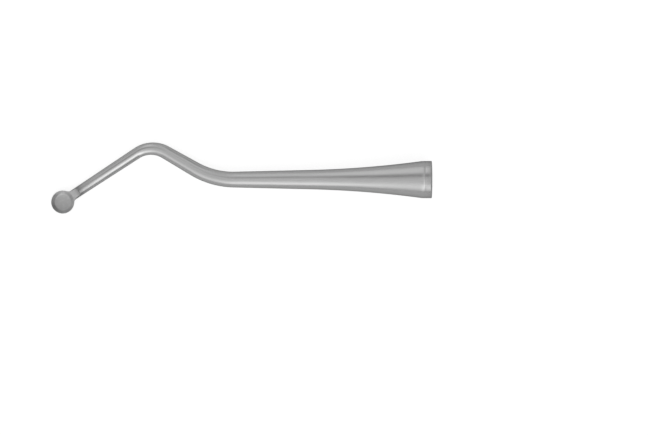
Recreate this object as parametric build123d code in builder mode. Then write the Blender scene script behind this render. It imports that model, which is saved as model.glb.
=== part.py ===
from build123d import *
from math import asin, atan, cos, radians, sin, tan
import os

# Spoon excavator, one forged and turned piece of stainless steel.
# The collar's end face is at the origin, and the shank runs from there towards -X to the spoon.
# Both bends lie in one plane, the spoon faces up, and the piece has the pose in which it comes
# to rest on a table: on the collar, the knee and the back of the spoon.

# Collar, with a fine turned groove, and the rounded shoulder and flare behind it
collar_diameter = 4.5
end_break = 0.05
groove_setback = 0.76
groove_width = 0.14
groove_depth = 0.02
groove_land = 0.04
shoulder_run = 0.25
flare_length = 13.6

# Shank diameters, from the flare to the spoon
flare_neck_diameter = 2.34
bend_diameter = 1.91
leg_diameter = 1.77
knee_start_diameter = 1.61
knee_end_diameter = 1.36
tip_diameter = 1.18

# Shank centre line, from corner to corner, and the radii that round its corners
shank_length = 26.45
middle_leg = 8.68
tip_leg = 12.77
bend_angle = 29.9
knee_angle = 63.3
bend_radius = 9.7
knee_radius = 3.3

# Spoon: a ball-shaped back, a ground face that runs out over the neck, and a dished bowl
spoon_diameter = 2.80
spoon_offset = 0.05
face_height = 0.36
back_drop = 0.25
neck_blend = 0.75
neck_flat = 0.65
grinding_radius = 0.35
rim_land = 0.05
bowl_wall_width = 0.36
bowl_wall_drop = 0.30
bowl_floor_sag = 0.06
bowl_corner_radius = 0.35

# Corners of the centre line in the plane of the bends, and the spoon's centre, which lies a little
# to the inner side of the knee from the last leg
tip_angle = knee_angle - bend_angle
bend_corner = Vector(-shank_length, 0)
knee_corner = bend_corner + Vector(-cos(radians(bend_angle)), sin(radians(bend_angle))) * middle_leg
leg_end = knee_corner - Vector(cos(radians(tip_angle)), sin(radians(tip_angle))) * tip_leg
spoon_centre = leg_end + Vector(sin(radians(tip_angle)), -cos(radians(tip_angle))) * spoon_offset
bend_tangent = bend_radius * tan(radians(bend_angle / 2))
knee_tangent = knee_radius * tan(radians(knee_angle / 2))
bend_start = bend_corner + Vector(bend_tangent, 0)
collar_radius = collar_diameter / 2
collar_length = groove_setback + groove_width / 2 + groove_land + shoulder_run

# Middle of the knee's arc, which lies inside its corner
knee_lean = radians((tip_angle - bend_angle) / 2)
knee_inset = knee_radius / cos(radians(knee_angle / 2)) - knee_radius
knee_point = knee_corner + Vector(sin(knee_lean), -cos(knee_lean)) * knee_inset

# The spoon's back reaches down from the ground face past the underside of the neck, and its ball
# is as wide as the rim at the face
face_runout = spoon_diameter / 2 + neck_flat
spoon_depth = face_height + tip_diameter / 2 + back_drop
back_radius = ((spoon_diameter / 2) ** 2 + spoon_depth**2) / (2 * spoon_depth)

# Resting pose: the collar's inner edge reaches further down than the knee and the spoon do, by
# these drops, and the plane of the bends slopes along and across the shank until all three touch
inner_edge = Vector(-collar_length, 0)
knee_arm = knee_point - inner_edge
spoon_arm = spoon_centre - inner_edge
knee_drop = collar_radius - (knee_start_diameter + knee_end_diameter) / 4
spoon_drop = collar_radius - (spoon_depth - face_height)
spread = knee_arm.X * spoon_arm.Y - spoon_arm.X * knee_arm.Y
pitch = atan((spoon_drop * knee_arm.Y - knee_drop * spoon_arm.Y) / spread)
roll = asin((knee_drop * spoon_arm.X - spoon_drop * knee_arm.X) / spread)
bend_plane = Plane(
    origin=(0, 0, 0),
    x_dir=(cos(pitch), 0, sin(pitch)),
    z_dir=(-cos(roll) * sin(pitch), -sin(roll), cos(roll) * cos(pitch)),
)
shank_axis = Axis(bend_plane.origin, bend_plane.x_dir)


with BuildPart() as spoon_excavator:
    # Collar, shoulder, flare and straight shank, turned about the shank axis
    with BuildSketch(bend_plane) as turned_profile:
        with BuildLine():
            shank_side = Line(
                (bend_start.X, bend_diameter / 2),
                (-collar_length - flare_length, flare_neck_diameter / 2),
            )
            flare = TangentArc(shank_side @ 1, (-collar_length, collar_radius), tangent=shank_side % 1)
            Polyline(
                flare @ 1,
                (-groove_setback - groove_width / 2, collar_radius),
                (-groove_setback, collar_radius - groove_depth),
                (-groove_setback + groove_width / 2, collar_radius),
                (-end_break, collar_radius),
                (0, collar_radius - end_break),
                (0, 0),
                (bend_start.X, 0),
                shank_side @ 0,
            )
        make_face()
        flare_slope = (flare % 1).get_angle(Vector(1, 0))
        shoulder_radius = shoulder_run / tan(radians(flare_slope / 2))
        fillet(turned_profile.vertices().sort_by_distance(flare @ 1)[0], shoulder_radius)
    revolve(axis=shank_axis)

    # Bends and legs, each swept along its own stretch of the centre line between round ends
    with BuildLine(bend_plane):
        bend = JernArc((bend_start.X, 0), (-1, 0), bend_radius, -bend_angle)
        leg = Line(bend @ 1, bend @ 1 + (bend % 1) * (middle_leg - bend_tangent - knee_tangent))
        knee = JernArc(leg @ 1, leg % 1, knee_radius, knee_angle)
        tip = Line(knee @ 1, knee @ 1 + (knee % 1) * (tip_leg - knee_tangent))
    for stretch, start_diameter, end_diameter in [
        (bend, bend_diameter, leg_diameter),
        (leg, leg_diameter, knee_start_diameter),
        (knee, knee_start_diameter, knee_end_diameter),
        (tip, knee_end_diameter, tip_diameter),
    ]:
        with BuildSketch(Plane(origin=stretch @ 0, z_dir=stretch % 0)):
            Circle(start_diameter / 2)
        with BuildSketch(Plane(origin=stretch @ 1, z_dir=stretch % 1)):
            Circle(end_diameter / 2)
        sweep(path=stretch, multisection=True)

    # Back of the spoon, a ball
    tip_plane = Plane(origin=tip @ 1, x_dir=tip % 1, z_dir=bend_plane.z_dir)
    face_plane = Plane(tip_plane * Pos(0, spoon_offset, face_height))
    spoon_axis = Axis(face_plane.origin, face_plane.z_dir)
    side_plane = Plane(origin=face_plane.origin, x_dir=face_plane.x_dir, z_dir=-face_plane.y_dir)
    with Locations(face_plane.offset(back_radius - spoon_depth)):
        Sphere(back_radius)

    # Face, ground flat across the spoon and run out over the neck at the wheel's radius
    with BuildSketch(side_plane):
        with BuildLine():
            ground = Line((spoon_diameter, 0), (-face_runout, 0))
            runout = JernArc(ground @ 1, ground % 1, grinding_radius, -90)
            above = runout @ 1 + Vector(0, spoon_diameter)
            Polyline(runout @ 1, above, (spoon_diameter, above.Y), ground @ 0)
        make_face()
    extrude(amount=spoon_diameter, both=True, mode=Mode.SUBTRACT)

    # Blend between the ball and the neck
    ball = spoon_excavator.faces().filter_by(GeomType.SPHERE)[0]
    fillet(ball.edges().filter_by(GeomType.BSPLINE), neck_blend)

    # Bowl, dished inside a narrow rim
    with BuildSketch(side_plane) as bowl_profile:
        bowl_radius = spoon_diameter / 2 - rim_land
        with BuildLine():
            floor = TangentArc(
                (0, -bowl_wall_drop - bowl_floor_sag),
                (bowl_radius - bowl_wall_width, -bowl_wall_drop),
                tangent=(1, 0),
            )
            Polyline(floor @ 1, (bowl_radius, 0), (0, 0), floor @ 0)
        make_face()
        fillet(bowl_profile.vertices().sort_by_distance(floor @ 1)[0], bowl_corner_radius)
    revolve(axis=spoon_axis, mode=Mode.SUBTRACT)

spoon_excavator.part.label = "spoon_excavator"

os.makedirs("parts", exist_ok=True)
export_step(spoon_excavator.part, "parts/spoon_excavator.step")
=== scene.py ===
import bpy
import math
import numpy as np
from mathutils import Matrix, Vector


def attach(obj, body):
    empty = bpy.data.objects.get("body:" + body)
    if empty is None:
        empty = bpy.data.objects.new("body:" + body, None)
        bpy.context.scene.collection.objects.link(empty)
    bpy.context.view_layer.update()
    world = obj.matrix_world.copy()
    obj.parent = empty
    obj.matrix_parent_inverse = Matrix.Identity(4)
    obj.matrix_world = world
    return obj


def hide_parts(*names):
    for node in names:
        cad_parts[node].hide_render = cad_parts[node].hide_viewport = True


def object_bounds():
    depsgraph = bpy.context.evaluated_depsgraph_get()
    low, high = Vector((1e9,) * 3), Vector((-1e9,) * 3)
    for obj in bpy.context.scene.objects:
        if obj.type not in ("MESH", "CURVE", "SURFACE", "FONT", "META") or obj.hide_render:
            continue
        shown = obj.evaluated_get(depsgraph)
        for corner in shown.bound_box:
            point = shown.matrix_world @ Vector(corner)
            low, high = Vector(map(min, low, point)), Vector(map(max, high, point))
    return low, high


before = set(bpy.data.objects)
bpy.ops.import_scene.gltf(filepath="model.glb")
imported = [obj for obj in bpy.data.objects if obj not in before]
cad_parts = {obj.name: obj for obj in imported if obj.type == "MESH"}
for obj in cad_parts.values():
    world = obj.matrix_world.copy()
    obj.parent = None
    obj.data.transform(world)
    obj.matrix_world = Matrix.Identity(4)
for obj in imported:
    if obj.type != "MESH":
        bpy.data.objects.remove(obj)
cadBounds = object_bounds()
print("frame loaded:", sorted(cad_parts))

millimetre = 0.001

# Spoon excavator: sizes in millimetres, angles in degrees
excavator = {
    "collarDiameter": 4.5,
    "endBreak": 0.05,
    "grooveSetback": 0.76,
    "grooveWidth": 0.14,
    "grooveDepth": 0.02,
    "grooveLand": 0.04,
    "shoulderRun": 0.25,
    "flareLength": 13.6,
    "flareNeckDiameter": 2.34,
    "bendDiameter": 1.91,
    "legDiameter": 1.77,
    "kneeStartDiameter": 1.61,
    "kneeEndDiameter": 1.36,
    "tipDiameter": 1.18,
    "shankLength": 26.45,
    "middleLeg": 8.68,
    "tipLeg": 12.77,
    "bendAngle": 29.9,
    "kneeAngle": 63.3,
    "bendRadius": 9.7,
    "kneeRadius": 3.3,
    "spoonDiameter": 2.80,
    "spoonOffset": 0.05,
    "faceHeight": 0.36,
    "backDrop": 0.25,
    "neckBlend": 0.75,
    "neckFlat": 0.65,
    "grindingRadius": 0.35,
    "rimLand": 0.05,
    "bowlWallWidth": 0.36,
    "bowlWallDrop": 0.30,
    "bowlFloorSag": 0.06,
    "bowlCornerRadius": 0.35,
    "neckStart": 3.0,
    # The mesh: points round a ring and across the run-out, and rows on each stretch, ends counted
    "mesh": {
        "ring": 129,
        "runoutAcross": 13,
        "shoulder": 25,
        "flare": 70,
        "straight": 30,
        "bend": 36,
        "middleLeg": 16,
        "knee": 44,
        "tipLeg": 36,
        "neck": 8,
        "runout": 12,
        "neckFlat": 14,
        "blend": 15,
        "ball": 60,
        "rim": 4,
        "bowlWall": 6,
        "bowlCorner": 16,
        "bowlFloor": 16,
    },
}
meshRows = excavator["mesh"]

# Lengths and radii that follow from the sizes
bendAngle = math.radians(excavator["bendAngle"])
kneeAngle = math.radians(excavator["kneeAngle"])
bendTangent = excavator["bendRadius"] * math.tan(bendAngle / 2)
kneeTangent = excavator["kneeRadius"] * math.tan(kneeAngle / 2)
straightLength = excavator["shankLength"] - bendTangent
bendLength = excavator["bendRadius"] * bendAngle
legLength = excavator["middleLeg"] - bendTangent - kneeTangent
kneeLength = excavator["kneeRadius"] * kneeAngle
tipLength = excavator["tipLeg"] - kneeTangent
bendEnd = straightLength + bendLength
kneeStart = bendEnd + legLength
kneeEnd = kneeStart + kneeLength
spoonAlong = kneeEnd + tipLength
collarRadius = excavator["collarDiameter"] / 2
grooveEnd = excavator["grooveSetback"] + excavator["grooveWidth"] / 2
collarLength = grooveEnd + excavator["grooveLand"] + excavator["shoulderRun"]
rimRadius = excavator["spoonDiameter"] / 2
spoonSide = -excavator["spoonOffset"]
faceRunout = rimRadius + excavator["neckFlat"]
faceHeight = excavator["faceHeight"]
spoonDepth = faceHeight + excavator["tipDiameter"] / 2 + excavator["backDrop"]
ballRadius = (rimRadius**2 + spoonDepth**2) / (2 * spoonDepth)
ballHeight = faceHeight + ballRadius - spoonDepth


def centreLine(along):
    # Runs and arcs added end to end: each adds the stretch of it that lies before the distance
    # along the line.
    place = np.zeros(along.shape + (2,))
    heading = math.pi
    start = 0.0
    angle = np.full(along.shape, heading)
    stretches = (
        (straightLength, 0.0),
        (bendLength, -bendAngle),
        (legLength, 0.0),
        (kneeLength, kneeAngle),
        (tipLength + 2 * rimRadius, 0.0),
    )
    for length, turn in stretches:
        gone = np.clip(along - start, 0, length)
        if turn:
            curvature = turn / length
            swung = heading + curvature * gone
            place[..., 0] += (np.sin(swung) - math.sin(heading)) / curvature
            place[..., 1] += (math.cos(heading) - np.cos(swung)) / curvature
            angle += curvature * gone
        else:
            place[..., 0] += gone * math.cos(heading)
            place[..., 1] += gone * math.sin(heading)
        heading += turn
        start += length
    return place, angle


def restPose():
    # The collar's inner edge, the knee and the spoon's back touch the table: the plane of the
    # bends slopes along and across the shank by the angles that bring the three to one height.
    inner = np.array([-collarLength, 0.0])
    kneeMiddle = centreLine(np.array(kneeStart + kneeLength / 2))[0]
    legEnd, legAngle = centreLine(np.array(spoonAlong))
    spoonMiddle = legEnd + spoonSide * np.array([math.sin(legAngle), -math.cos(legAngle)])
    kneeArm = kneeMiddle - inner
    spoonArm = spoonMiddle - inner
    kneeRadiusThere = (excavator["kneeStartDiameter"] + excavator["kneeEndDiameter"]) / 4
    kneeDrop = collarRadius - kneeRadiusThere
    spoonDrop = collarRadius - (spoonDepth - faceHeight)
    spread = kneeArm[0] * spoonArm[1] - spoonArm[0] * kneeArm[1]
    pitch = math.atan((spoonDrop * kneeArm[1] - kneeDrop * spoonArm[1]) / spread)
    roll = math.asin((kneeDrop * spoonArm[0] - spoonDrop * kneeArm[0]) / spread)
    forward = np.array([math.cos(pitch), 0, math.sin(pitch)])
    up = np.array([
        -math.cos(roll) * math.sin(pitch), -math.sin(roll), math.cos(roll) * math.cos(pitch)])
    return forward, np.cross(up, forward), up


def placed(along, side, height):
    # A point in millimetres: the centre line's point, plus the side and height in the section.
    forward, left, up = restPose()
    place, angle = centreLine(along)
    x = place[..., 0] + side * np.sin(angle)
    y = place[..., 1] - side * np.cos(angle)
    return x[..., None] * forward + y[..., None] * left + height[..., None] * up


def flareArc():
    # Circle through the collar's corner, tangent to the shank's side at the flare's neck.
    neck = np.array([collarLength + excavator["flareLength"], excavator["flareNeckDiameter"] / 2])
    bendStart = np.array([straightLength, excavator["bendDiameter"] / 2])
    slope = (neck - bendStart) / np.linalg.norm(neck - bendStart)
    outward = np.array([slope[1], -slope[0]])
    chord = np.array([collarLength, collarRadius]) - neck
    radius = chord @ chord / (2 * chord @ outward)
    return neck, neck + outward * radius, radius


def shankRadius(along):
    # Collar, rounded shoulder, flare and tapered runs, by the distance along the centre line.
    neck, arcCentre, arcRadius = flareArc()
    slope = math.asin((arcCentre[0] - collarLength) / arcRadius)
    shoulderRadius = excavator["shoulderRun"] / math.tan(slope / 2)
    shoulderHeight = collarRadius - shoulderRadius
    reach = math.sqrt((arcRadius + shoulderRadius) ** 2 - (arcCentre[1] - shoulderHeight) ** 2)
    shoulderStart = arcCentre[0] - reach
    toArc = np.array([reach, arcCentre[1] - shoulderHeight]) / (arcRadius + shoulderRadius)
    shoulderEnd = shoulderStart + shoulderRadius * toArc[0]
    knots = [neck[0], straightLength, bendEnd, kneeStart, kneeEnd, spoonAlong]
    diameters = [excavator[key] for key in (
        "flareNeckDiameter", "bendDiameter", "legDiameter", "kneeStartDiameter",
        "kneeEndDiameter", "tipDiameter")]
    tapered = np.interp(along, knots, diameters) / 2
    flare = arcCentre[1] - np.sqrt(np.maximum(arcRadius**2 - (along - arcCentre[0]) ** 2, 0))
    past = along - shoulderStart
    rounded = shoulderHeight + np.sqrt(np.maximum(shoulderRadius**2 - past**2, 0))
    radius = np.where(along < neck[0], flare, tapered)
    radius = np.where(along < shoulderEnd, rounded, radius)
    radius = np.where(along < shoulderStart, collarRadius, radius)
    fromGroove = np.abs(along - excavator["grooveSetback"]) / (excavator["grooveWidth"] / 2)
    radius = radius - excavator["grooveDepth"] * np.clip(1 - fromGroove, 0, 1)
    return radius - np.clip(excavator["endBreak"] - along, 0, None)


def cutHeight(ahead):
    # Height of the ground face over the neck: flat, then the grinding wheel's arc up and out.
    wheel = excavator["grindingRadius"]
    past = np.clip(-faceRunout - ahead, 0, wheel)
    return faceHeight + wheel - np.sqrt(wheel**2 - past**2)


# How the blend is found
firstAhead = -1.0  # millimetres
centreSteps = 6
lowestTurn = 0.5  # radians from underneath, as the next one
highestTurn = math.pi - 0.3
halvings = 50


def blendCentre(turn):
    # Middle of a ball that touches both the neck and the spoon's ball, by the turn from
    # underneath. The neck tapers, so the distance ahead is worked out again a few times.
    ahead = np.full(turn.shape, firstAhead)
    for step in range(centreSteps):
        reach = shankRadius(spoonAlong + ahead) + excavator["neckBlend"]
        side = reach * np.sin(turn)
        height = -reach * np.cos(turn)
        apart = (side - spoonSide) ** 2 + (height - ballHeight) ** 2
        ahead = -np.sqrt(np.maximum((ballRadius + excavator["neckBlend"]) ** 2 - apart, 0))
    return np.stack([ahead, side, height], -1)


def blendSurface(turn, share):
    # Arc on that ball from the neck's touching point to the spoon's, by the share of the way.
    centre = blendCentre(turn)
    toNeck = np.stack([np.zeros(turn.shape), -np.sin(turn), np.cos(turn)], -1)
    toBall = np.array([0, spoonSide, ballHeight]) - centre
    toBall = toBall / np.linalg.norm(toBall, axis=-1, keepdims=True)
    opening = np.arccos(np.clip((toNeck * toBall).sum(-1), -1, 1))[..., None]
    weightNeck = np.sin((1 - share[..., None]) * opening)
    weightBall = np.sin(share[..., None] * opening)
    outward = (weightNeck * toNeck + weightBall * toBall) / np.sin(opening)
    return centre + excavator["neckBlend"] * outward


def blendCorner(ring, share):
    # Turn at which the blend reaches the ground face on the ring's side, found by halving.
    way = np.broadcast_to(np.where(ring < 0, -1.0, 1.0), share.shape)
    low = np.full(share.shape, lowestTurn)
    high = np.full(share.shape, highestTurn)
    for step in range(halvings):
        middle = (low + high) / 2
        above = blendSurface(way * middle, share)[..., 2] > faceHeight
        high = np.where(above, middle, high)
        low = np.where(above, low, middle)
    return (low + high) / 2


def shankRows():
    # Distances along the centre line: the collar's edges, then rows that close up at the bends.
    collar = [0, excavator["endBreak"], grooveEnd - excavator["grooveWidth"],
              excavator["grooveSetback"], grooveEnd]
    flareStart = collarLength + excavator["shoulderRun"]
    neck = flareArc()[0][0]
    stretches = (
        ("shoulder", grooveEnd, flareStart),
        ("flare", flareStart, neck),
        ("straight", neck, straightLength),
        ("bend", straightLength, bendEnd),
        ("middleLeg", bendEnd, kneeStart),
        ("knee", kneeStart, kneeEnd),
        ("tipLeg", kneeEnd, spoonAlong - excavator["neckStart"]),
    )
    runs = [np.linspace(start, end, meshRows[name])[1:] for name, start, end in stretches]
    return np.concatenate([collar] + runs)


def runoutArc():
    # Distances past the face's end on the grinding wheel's arc, from the shank's top back to 0.
    wheel = excavator["grindingRadius"]
    topThere = shankRadius(np.array(spoonAlong - faceRunout - wheel))
    angle = math.acos(1 - (topThere - faceHeight) / wheel)
    return np.sin(np.linspace(angle, 0, meshRows["runout"])) * wheel


def neckRings(ring):
    # Rings of the neck, ahead of the spoon's middle by a negative distance, up to where the blend
    # begins. A ring opens at the ground face by the angle whose cosine is height over radius.
    touch = blendCentre(ring * blendCorner(ring, np.zeros(ring.shape)))[:, 0]
    cornerTouch = touch[0] + (touch[-1] - touch[0]) * (ring + 1) / 2
    runoutEnd = -faceRunout + touch - cornerTouch
    neckStart = excavator["neckStart"]
    arc = runoutArc()
    closed = np.linspace(-neckStart, -faceRunout - arc[0], meshRows["neck"])[1:-1]
    cornerAhead = np.concatenate([closed, -faceRunout - arc])
    share = (cornerAhead + neckStart) / (neckStart - faceRunout)
    before = -neckStart + share[:, None] * (runoutEnd + neckStart)
    onFlat = np.linspace(0, 1, meshRows["neckFlat"])[1:, None]
    after = runoutEnd + onFlat * (touch - runoutEnd)
    ahead = np.concatenate([before, after])
    radius = shankRadius(spoonAlong + ahead)
    cut = np.concatenate([cutHeight(cornerAhead), np.full(len(after), faceHeight)])
    opening = np.arccos(np.clip(cut[:, None] / radius[:, [0, -1]], -1, 1))
    opening[: len(closed) + 1] = 0
    turn = ring * (math.pi - np.where(ring < 0, opening[:, :1], opening[:, 1:]))
    rings = np.stack([spoonAlong + ahead, radius * np.sin(turn), -radius * np.cos(turn)], -1)
    return rings, len(closed), len(before) - 1


def blendRings(ring):
    # Rings over the blend from the neck to the ball, measured from the spoon's middle.
    share = np.linspace(0, 1, meshRows["blend"])[1:, None]
    share = np.broadcast_to(share, (len(share), len(ring)))
    return blendSurface(ring * blendCorner(ring, share), share)


def ballRings(start):
    # Rings of the ball from the blend's last ring to the far edge. Each line keeps its share of
    # the angle by which its section opens at the ground face.
    faceDrop = ballHeight - faceHeight
    startOpening = np.arccos(faceDrop / np.sqrt(ballRadius**2 - start[:, 0] ** 2))
    kept = np.arctan2(start[:, 1] - spoonSide, ballHeight - start[:, 2]) / startOpening
    gone = np.sin(np.linspace(0, math.pi / 2, meshRows["ball"]))[1:, None]
    ahead = start[:, 0] + (rimRadius - start[:, 0]) * gone
    section = np.sqrt(ballRadius**2 - ahead**2)
    turn = kept * np.arccos(np.clip(faceDrop / section, -1, 1))
    side = spoonSide + section * np.sin(turn)
    return np.stack([ahead, side, ballHeight - section * np.cos(turn)], -1)


def outerSurface():
    # Rings from the collar to the spoon's far edge. Each runs from the top or the ground face's
    # edge on one side, round underneath, to the same place on the other side.
    ring = np.linspace(-1, 1, meshRows["ring"])
    along, turn = np.meshgrid(shankRows(), ring * math.pi, indexing="ij")
    radius = shankRadius(along)
    shank = np.stack([along, radius * np.sin(turn), -radius * np.cos(turn)], -1)
    endMiddle = shank[:1] * np.array([1, 0, 0])
    neck, openRow, runoutRow = neckRings(ring)
    blend = blendRings(ring)
    ball = ballRings(blend[-1])
    shift = np.array([spoonAlong, 0, 0])
    surface = np.concatenate([endMiddle, shank, neck, blend + shift, ball + shift])
    neckRow = len(endMiddle) + len(shank)
    return surface, neckRow + openRow, neckRow + runoutRow


def bowlProfile():
    # From the bowl's edge down the wall, round the corner and over the floor to the middle.
    edge = rimRadius - excavator["rimLand"]
    foot = np.array([edge - excavator["bowlWallWidth"], -excavator["bowlWallDrop"]])
    sag = excavator["bowlFloorSag"]
    floorRadius = (foot[0] ** 2 + sag**2) / (2 * sag)
    floorCentre = np.array([0, foot[1] - sag + floorRadius])
    wall = np.array([edge, 0]) - foot
    wall = wall / np.linalg.norm(wall)
    inward = np.array([-wall[1], wall[0]])
    rounding = excavator["bowlCornerRadius"]
    offset = foot + rounding * inward - floorCentre
    near = offset @ wall
    climb = -near - math.sqrt(near**2 - offset @ offset + (floorRadius - rounding) ** 2)
    centre = foot + climb * wall + rounding * inward
    down = (centre - floorCentre) / np.linalg.norm(centre - floorCentre)
    wallAngle = math.atan2(-inward[1], -inward[0])
    floorAngle = math.atan2(down[1], down[0])
    arcAngle = np.linspace(wallAngle, floorAngle, meshRows["bowlCorner"])
    arc = centre + rounding * np.stack([np.cos(arcAngle), np.sin(arcAngle)], -1)
    straight = np.linspace([edge, 0], foot + climb * wall, meshRows["bowlWall"])[:-1]
    floorTurn = np.linspace(math.asin(down[0]), 0, meshRows["bowlFloor"])[1:]
    floor = floorCentre + floorRadius * np.stack([np.sin(floorTurn), -np.cos(floorTurn)], -1)
    return np.concatenate([straight, arc, floor])


def groundSurfaces(outer, openRow, runoutRow):
    # The run-out over the neck, straight across from side to side, the flat face, which mixes its
    # outline with the bowl's edge, and the bowl, its profile turned about the spoon's middle.
    across = np.linspace(0, 1, meshRows["runoutAcross"])
    left = outer[openRow : runoutRow + 1, 0]
    right = outer[openRow : runoutRow + 1, -1]
    runout = left[:, None] * (1 - across)[:, None] + right[:, None] * across[:, None]
    outline = np.concatenate([
        outer[runoutRow:, -1], outer[runoutRow:-1, 0][::-1], runout[-1][1:]])
    fromMiddle = outline - np.array([spoonAlong, spoonSide, 0])
    polar = np.arctan2(fromMiddle[:, 1], fromMiddle[:, 0])
    profile = bowlProfile()
    bowl = np.stack([
        spoonAlong + profile[:, :1] * np.cos(polar),
        spoonSide + profile[:, :1] * np.sin(polar),
        np.broadcast_to(faceHeight + profile[:, 1:], (len(profile), len(polar))),
    ], -1)
    inward = np.linspace(0, 1, meshRows["rim"])[:, None, None]
    flat = outline * (1 - inward) + bowl[0] * inward
    return runout, flat, bowl


def gridFaces(rows, columns):
    # Two triangles for each cell of a grid that is stored row by row.
    corner = (np.arange(rows - 1)[:, None] * columns + np.arange(columns - 1)).ravel()
    first = np.stack([corner, corner + 1, corner + columns + 1], -1)
    second = np.stack([corner, corner + columns + 1, corner + columns], -1)
    return np.concatenate([first, second])


weldSteps = 1e5  # steps to the millimetre, and vertices at the same step become one


def welded(surfaces):
    # One mesh from the grids: vertices that coincide become one, and triangles that have lost an
    # edge by it are dropped.
    places, faces, grounds, begin = [], [], [], 0
    for grid, ground, flipped in surfaces:
        rows, columns = grid.shape[:2]
        triangles = gridFaces(rows, columns) + begin
        faces.append(triangles[:, ::-1] if flipped else triangles)
        grounds.append(np.full(len(triangles), ground))
        places.append(grid.reshape(-1, 3))
        begin += rows * columns
    places = np.concatenate(places)
    faces = np.concatenate(faces)
    grounds = np.concatenate(grounds)
    solid = placed(places[:, 0], places[:, 1], places[:, 2])
    keys = np.round(solid * weldSteps).astype(np.int64)
    first, same = np.unique(keys, axis=0, return_index=True, return_inverse=True)[1:]
    faces = same.reshape(-1)[faces]
    a, b, c = faces.T
    whole = (a != b) & (b != c) & (c != a)
    return solid[first], places[first], faces[whole], grounds[whole]


def meshFrom(name, vertices, triangles):
    # A mesh whose arrays are set whole, from millimetres.
    mesh = bpy.data.meshes.new(name)
    mesh.vertices.add(len(vertices))
    mesh.vertices.foreach_set("co", (vertices * millimetre).astype(np.float32).ravel())
    mesh.loops.add(triangles.size)
    mesh.loops.foreach_set("vertex_index", triangles.astype(np.int32).ravel())
    mesh.polygons.add(len(triangles))
    mesh.polygons.foreach_set("loop_start", np.arange(0, triangles.size, 3, dtype=np.int32))
    mesh.update(calc_edges=True)
    mesh.validate()
    piece = bpy.data.objects.new(name, mesh)
    bpy.context.scene.collection.objects.link(piece)
    return piece


finishes = {"polished": 0.0, "ground": 1.0}
sharpAngle = 24  # edges that turn by more degrees than this stay sharp


def makeExcavator():
    # The outer surface is polished, and the run-out, the flat face and the bowl are ground. The
    # mesh keeps each point's place along the straightened piece, for the steel's patterns.
    outer, openRow, runoutRow = outerSurface()
    runout, flat, bowl = groundSurfaces(outer, openRow, runoutRow)
    vertices, straightened, triangles, grounds = welded((
        (outer, finishes["polished"], True),
        (runout, finishes["ground"], False),
        (flat, finishes["ground"], False),
        (bowl, finishes["ground"], False),
    ))
    piece = meshFrom("spoon_excavator_metal", vertices, triangles)
    mesh = piece.data
    mesh.shade_smooth()
    mesh.set_sharp_from_angle(angle=math.radians(sharpAngle))
    lengthwise = mesh.attributes.new("lengthwise", "FLOAT_VECTOR", "POINT")
    lengthwise.data.foreach_set("vector", straightened.astype(np.float32).ravel())
    ground = mesh.attributes.new("ground", "FLOAT", "FACE")
    ground.data.foreach_set("value", grounds.astype(np.float32))
    return piece


metal = makeExcavator()
print("excavator:", len(metal.data.vertices), "vertices,", len(metal.data.polygons), "triangles")


# Steel: grey values and roughness, and lengths, widths and heights in millimetres. From and To
# are distances from the spoon's middle, except on the collar, where they start at its end.
steel = {
    "polishedBase": 0.66,
    "groundBase": 0.55,
    "edgeTint": 0.60,
    "polishedRoughness": 0.17,
    "groundRoughness": 0.42,
    "roughnessChange": 0.12,
    "toneChange": 0.14,
    "grainLength": 2.4,
    "grainWidth": 0.11,
    "grainHeight": 0.0060,
    "waveLength": 5.0,
    "waveWidth": 1.3,
    "waveHeight": 0.030,
    "markLength": 0.9,
    "markWidth": 0.05,
    "markTurn": 14.0,
    "markHeight": 0.0018,
    "turnedPitch": 0.07,
    "turnedHeight": 0.0020,
    "collarTurnedTo": 1.6,
    # painted shade in the groove
    "grooveShadeTone": 0.96,
    # painted shade at the collar's end
    "endEdgeShadeTo": 0.65,
    "endEdgeShadeTone": 0.84,
    "satinFrom": 7.0,
    "satinTo": 2.4,
    "satinRoughness": 0.16,
    # painted shade that dims the tip leg's highlight towards the spoon
    "fadeFrom": 4.6,
    "fadeTo": 2.3,
    "fadeTone": 0.80,
    # painted shade on the polished steel just before the run-out
    "dullFrom": 3.0,
    "dullTo": 2.45,
    "nearRunoutShadeTone": 0.72,
    "scratchLength": 1.5,
    "scratchWidth": 0.07,
    "scratchHeight": 0.0050,
    "mottleLength": 0.45,
    "mottleWidth": 0.30,
    "mottleChange": 0.34,
    # painted light on the ground face near the neck, painted shade at its far edge
    "faceLightAndShadeNear": 1.16,
    "faceLightAndShadeFar": 0.80,
    # painted shade on the ground face at the run-out
    "runoutFrom": 2.10,
    "runoutTo": 1.85,
    "runoutTone": 0.80,
    "polishDetail": 3.0,
    "waveDetail": 1.0,
    "groundDetail": 2.0,
    "noiseRoughness": 0.6,
}


def node(tree, kind, inputs=None, **settings):
    # A node with its settings and inputs: a socket is linked, anything else is the input's value.
    made = tree.nodes.new(kind)
    for name, value in settings.items():
        setattr(made, name, value)
    for name, value in (inputs or {}).items():
        if isinstance(value, bpy.types.NodeSocket):
            tree.links.new(value, made.inputs[name])
        else:
            made.inputs[name].default_value = value
    return made


def mathNode(tree, operation, first, second=0.0, third=0.0):
    # The operation on up to three values.
    return node(tree, "ShaderNodeMath", {0: first, 1: second, 2: third},
                operation=operation).outputs[0]


def product(tree, first, *others):
    # All the values multiplied.
    for other in others:
        first = mathNode(tree, "MULTIPLY", first, other)
    return first


def grey(tree, tone):
    # A colour with the same tone in red, green and blue.
    return node(tree, "ShaderNodeCombineColor", {"Red": tone, "Green": tone, "Blue": tone}).outputs[0]


def mixed(tree, share, first, second):
    # The first value where the share is 0, the second where it is 1, and in proportion between.
    return node(tree, "ShaderNodeMix", {"Factor": share, "A": first, "B": second}).outputs[0]


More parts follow.
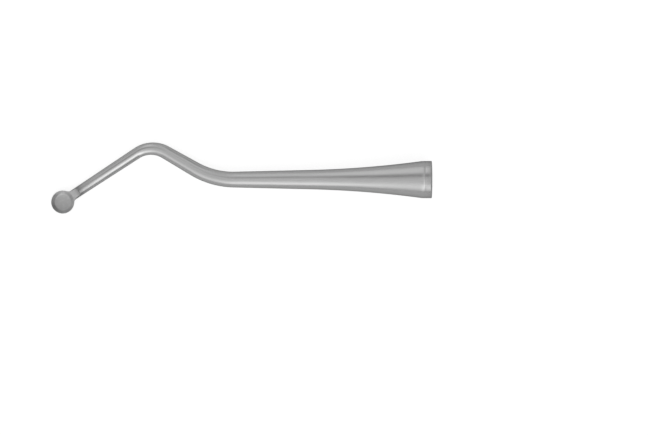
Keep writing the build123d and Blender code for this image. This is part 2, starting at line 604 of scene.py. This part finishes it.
def ramp(tree, value, start, end, first, last):
    # From the first value at the start to the last at the end, and level beyond them.
    return node(tree, "ShaderNodeMapRange", {
        "Value": value, "From Min": start, "From Max": end, "To Min": first, "To Max": last,
    }).outputs[0]


def towardsSpoon(tree, along, name, first, last):
    # A ramp between the named distances from the spoon's middle.
    return ramp(tree, along, spoonAlong - steel[name + "From"], spoonAlong - steel[name + "To"],
                first, last)


def changing(tree, pattern, change, middle):
    # The pattern, spread over the change about its middle value.
    return mathNode(tree, "MULTIPLY_ADD", pattern, change, middle - change / 2)


def streaks(tree, vector, length, width, detail, turn=0.0):
    # Noise that is drawn out along the piece, to the given length and width.
    stretched = node(tree, "ShaderNodeMapping", {
        "Vector": vector,
        "Rotation": (0, 0, math.radians(turn)),
        "Scale": (1 / length, 1 / width, 1 / width),
    }).outputs[0]
    return node(tree, "ShaderNodeTexNoise", {
        "Vector": stretched, "Scale": 1.0, "Detail": detail,
        "Roughness": steel["noiseRoughness"]}).outputs["Fac"]


def bump(tree, height, millimetres, below=None, strength=1.0):
    # A relief of that many millimetres on top of the one below.
    inputs = {"Height": height, "Strength": strength, "Distance": millimetres * millimetre}
    if below is not None:
        inputs["Normal"] = below
    return node(tree, "ShaderNodeBump", inputs).outputs[0]


def newMaterial(name):
    # A material with an empty node tree.
    material = bpy.data.materials.new(name)
    material.use_nodes = True
    material.node_tree.nodes.clear()
    return material, material.node_tree


def steelRoughness(tree, along, ground, grain, scratch):
    # The polish turns satin towards the spoon, and the ground face is rougher still.
    change = steel["roughnessChange"]
    satin = towardsSpoon(tree, along, "satin", steel["polishedRoughness"] - change / 2,
                         steel["polishedRoughness"] + steel["satinRoughness"] - change / 2)
    polished = mathNode(tree, "MULTIPLY_ADD", grain, change, satin)
    rough = changing(tree, scratch, change, steel["groundRoughness"])
    return mixed(tree, ground, polished, rough)


def steelTone(tree, straight, along, ground, grain):
    # Polished steel is streaked. Painted shade darkens it towards the spoon and more by the run-out,
    # in the groove and at the collar's end.
    streaked = changing(tree, grain, steel["toneChange"], 1)
    # Painted shade: darker across the groove, fading out over half its width beyond each edge
    fromGroove = mathNode(tree, "SUBTRACT", along, excavator["grooveSetback"])
    grooveShade = ramp(tree, mathNode(tree, "ABSOLUTE", fromGroove), excavator["grooveWidth"] / 2,
                   excavator["grooveWidth"], steel["grooveShadeTone"], 1.0)
    # Painted shade at the collar's end, fading out away from the end break
    endEdgeShade = ramp(tree, along, excavator["endBreak"], steel["endEdgeShadeTo"],
                     steel["endEdgeShadeTone"], 1.0)
    # Painted shade dimming the tip leg's highlight towards the spoon
    fade = towardsSpoon(tree, along, "fade", 1.0, steel["fadeTone"])
    # Painted shade dimming the highlight just before the run-out
    dull = towardsSpoon(tree, along, "dull", 1.0, steel["nearRunoutShadeTone"])
    polished = product(tree, streaked, grooveShade, endEdgeShade, fade, dull, steel["polishedBase"])
    # Ground steel is mottled; painted light towards the neck, painted shade at the far edge and at the
    # run-out
    mottle = streaks(tree, straight, steel["mottleLength"], steel["mottleWidth"],
                     steel["groundDetail"])
    mottled = changing(tree, mottle, steel["mottleChange"], 1)
    # Painted light near the neck and painted shade at the spoon's far edge
    faceLightAndShade = ramp(tree, along, spoonAlong - rimRadius, spoonAlong + rimRadius,
                   steel["faceLightAndShadeNear"], steel["faceLightAndShadeFar"])
    # Painted shade on the ground face at the run-out
    runout = towardsSpoon(tree, along, "runout", steel["runoutTone"], 1.0)
    matt = product(tree, mottled, faceLightAndShade, runout, steel["groundBase"])
    return mixed(tree, ground, polished, matt)


def steelNormal(tree, straight, along, ground, grain, scratch):
    # Soft waves, long grain and slanting marks of the polish, lines turned round the collar that
    # end on the flare, and scratches of the grinding wheel across the face.
    detail = steel["polishDetail"]
    wave = streaks(tree, straight, steel["waveLength"], steel["waveWidth"], steel["waveDetail"])
    marks = streaks(tree, straight, steel["markLength"], steel["markWidth"], detail,
                    steel["markTurn"])
    turned = streaks(tree, straight, steel["turnedPitch"], steel["grainLength"], detail)
    turnedStrength = ramp(tree, along, collarLength, steel["collarTurnedTo"], 1.0, 0.0)
    normal = bump(tree, wave, steel["waveHeight"])
    normal = bump(tree, grain, steel["grainHeight"], normal)
    normal = bump(tree, marks, steel["markHeight"], normal)
    normal = bump(tree, turned, steel["turnedHeight"], normal, turnedStrength)
    return bump(tree, scratch, steel["scratchHeight"], normal, ground)


def steelMaterial():
    # Metal whose tone, roughness and relief follow the piece's length and its ground faces.
    material, tree = newMaterial("brushed_steel")
    straight = node(tree, "ShaderNodeAttribute", attribute_name="lengthwise").outputs["Vector"]
    ground = node(tree, "ShaderNodeAttribute", attribute_name="ground").outputs["Fac"]
    along = node(tree, "ShaderNodeSeparateXYZ", {0: straight}).outputs[0]
    grain = streaks(tree, straight, steel["grainLength"], steel["grainWidth"],
                    steel["polishDetail"])
    scratch = streaks(tree, straight, steel["scratchWidth"], steel["scratchLength"],
                      steel["groundDetail"])
    edgeTint = steel["edgeTint"]
    shader = node(tree, "ShaderNodeBsdfPrincipled", {
        "Base Color": grey(tree, steelTone(tree, straight, along, ground, grain)),
        "Metallic": 1.0,
        "Specular Tint": (edgeTint, edgeTint, edgeTint, 1),
        "Roughness": steelRoughness(tree, along, ground, grain, scratch),
        "Normal": steelNormal(tree, straight, along, ground, grain, scratch),
    })
    node(tree, "ShaderNodeOutputMaterial", {"Surface": shader.outputs[0]})
    return material


metal.data.materials.append(steelMaterial())
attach(metal, "root")
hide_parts("spoon_excavator")
print("steel set")


# Studio: tones from 0 to 1. The floor's size and the camera's height and reach are in metres, the
# camera's place and view in millimetres, and leastAbove keeps a division from running away.
studio = {
    "floorSize": 3.0,
    "floorTone": 0.50,
    "floorGlow": 0.77,
    "mirroredTone": 0.78,
    "horizonTone": 0.43,
    "leastAbove": 0.05,
    "cameraX": -13.02,
    "cameraY": -4.58,
    "cameraHeight": 2.0,
    "cameraReach": 10.0,
    "viewWidth": 78.28,
    "sensorWidth": 36.0,
}

# Soft lights, in round numbers near those of a fit of the steel's tones to the photograph.
# A level mirror that leans by an angle shows each at a place: the tangents of the lean along X and
# along Y. Its width and height are measured the same way, and it is turned by an angle. A dark
# patch has a negative brightness.
softLights = {
    "overhead": {"x": -0.1, "y": -0.1, "width": 0.5, "height": 0.5, "turn": 0, "brightness": 0.12},
    "front": {"x": 0.0, "y": -0.5, "width": 0.2, "height": 0.25, "turn": 0, "brightness": 0.65},
    "frontRight": {"x": 0.15, "y": -0.3, "width": 0.08, "height": 0.35, "turn": 15, "brightness": 0.90},
    "frontLeft": {"x": -0.3, "y": -0.4, "width": 0.1, "height": 0.3, "turn": -10, "brightness": 0.30},
    "back": {"x": -0.15, "y": 0.65, "width": 0.15, "height": 0.4, "turn": 0, "brightness": 0.30},
    "backRight": {"x": 0.15, "y": 0.55, "width": 0.1, "height": 0.3, "turn": 0, "brightness": 0.20},
    "darkStrip": {"x": -0.15, "y": 0.25, "width": 0.12, "height": 0.12, "turn": 0, "brightness": -0.32},
    "darkRight": {"x": 0.8, "y": 0.6, "width": 0.4, "height": 0.4, "turn": 0, "brightness": -0.32},
    "darkFront": {"x": 0.5, "y": -0.7, "width": 0.25, "height": 0.25, "turn": 0, "brightness": -0.20},
    "left": {"x": -0.9, "y": 0.2, "width": 0.35, "height": 0.4, "turn": 0, "brightness": 0.20},
    "right": {"x": 1.0, "y": -0.1, "width": 0.25, "height": 0.35, "turn": 0, "brightness": 0.20},
}
white = (1, 1, 1, 1)


def studioWorld():
    # White to the camera. To the steel, a level tone plus each soft light, which falls off by the
    # exponential of minus its distance squared. The lean of the mirror that shows a direction is
    # its X and Y over one plus its Z.
    world = bpy.data.worlds.new("studio")
    bpy.context.scene.world = world
    world.use_nodes = True
    tree = world.node_tree
    tree.nodes.clear()
    direction = node(tree, "ShaderNodeTexCoord").outputs["Generated"]
    parts = node(tree, "ShaderNodeSeparateXYZ", {0: direction}).outputs
    above = mathNode(tree, "MAXIMUM", mathNode(tree, "ADD", parts[2], 1.0), studio["leastAbove"])
    lean = node(tree, "ShaderNodeCombineXYZ", {
        "X": mathNode(tree, "DIVIDE", parts[0], above),
        "Y": mathNode(tree, "DIVIDE", parts[1], above),
    }).outputs[0]
    total = studio["horizonTone"]
    for light in softLights.values():
        patch = node(tree, "ShaderNodeMapping", {
            "Vector": lean,
            "Location": (light["x"], light["y"], 0),
            "Rotation": (0, 0, math.radians(light["turn"])),
            "Scale": (light["width"], light["height"], 1),
        }, vector_type="TEXTURE").outputs[0]
        distance = node(tree, "ShaderNodeVectorMath", {0: patch}, operation="LENGTH").outputs["Value"]
        fade = mathNode(tree, "EXPONENT", product(tree, distance, distance, -1.0))
        total = mathNode(tree, "MULTIPLY_ADD", fade, light["brightness"], total)
    tone = node(tree, "ShaderNodeCombineXYZ", {"X": total, "Y": total, "Z": total}).outputs[0]
    room = node(tree, "ShaderNodeBackground", {"Color": tone, "Strength": 1.0}).outputs[0]
    backdrop = node(tree, "ShaderNodeBackground", {"Color": white, "Strength": 1.0}).outputs[0]
    seen = node(tree, "ShaderNodeLightPath").outputs["Is Camera Ray"]
    both = node(tree, "ShaderNodeMixShader", {0: seen, 1: room, 2: backdrop}).outputs[0]
    node(tree, "ShaderNodeOutputWorld", {"Surface": both})


def makeFloor(height):
    # A square that the camera sees as white, by a glow over its own tone, with the piece's soft
    # shadow on it. The steel mirrors it in a lighter tone, without the glow.
    half = studio["floorSize"] / 2
    corners = [(x, y, height) for x, y in ((-half, -half), (half, -half), (half, half), (-half, half))]
    mesh = bpy.data.meshes.new("floor")
    mesh.from_pydata(corners, [], [(0, 1, 2, 3)])
    floor = bpy.data.objects.new("floor", mesh)
    bpy.context.scene.collection.objects.link(floor)
    material, tree = newMaterial("floor")
    path = node(tree, "ShaderNodeLightPath").outputs
    lighter = studio["mirroredTone"] - studio["floorTone"]
    tone = mathNode(tree, "MULTIPLY_ADD", path["Is Glossy Ray"], lighter, studio["floorTone"])
    glow = mathNode(tree, "MULTIPLY", path["Is Camera Ray"], studio["floorGlow"])
    diffuse = node(tree, "ShaderNodeBsdfDiffuse", {"Color": grey(tree, tone)}).outputs[0]
    emission = node(tree, "ShaderNodeEmission", {"Color": white, "Strength": glow}).outputs[0]
    both = node(tree, "ShaderNodeAddShader", {0: diffuse, 1: emission}).outputs[0]
    node(tree, "ShaderNodeOutputMaterial", {"Surface": both})
    mesh.materials.append(material)


def makeCamera():
    # Straight down. The lens is the sensor's width times the distance over the view's width.
    data = bpy.data.cameras.new("camera")
    camera = bpy.data.objects.new("camera", data)
    bpy.context.scene.collection.objects.link(camera)
    data.sensor_width = studio["sensorWidth"]
    data.lens = studio["sensorWidth"] * studio["cameraHeight"] / (studio["viewWidth"] * millimetre)
    data.clip_end = studio["cameraReach"]
    data.dof.use_dof = False
    camera.location = (
        studio["cameraX"] * millimetre, studio["cameraY"] * millimetre, studio["cameraHeight"])
    bpy.context.scene.camera = camera


studioWorld()
makeFloor(cadBounds[0][2])
makeCamera()
bpy.context.scene.view_settings.view_transform = "Standard"
print("studio set")
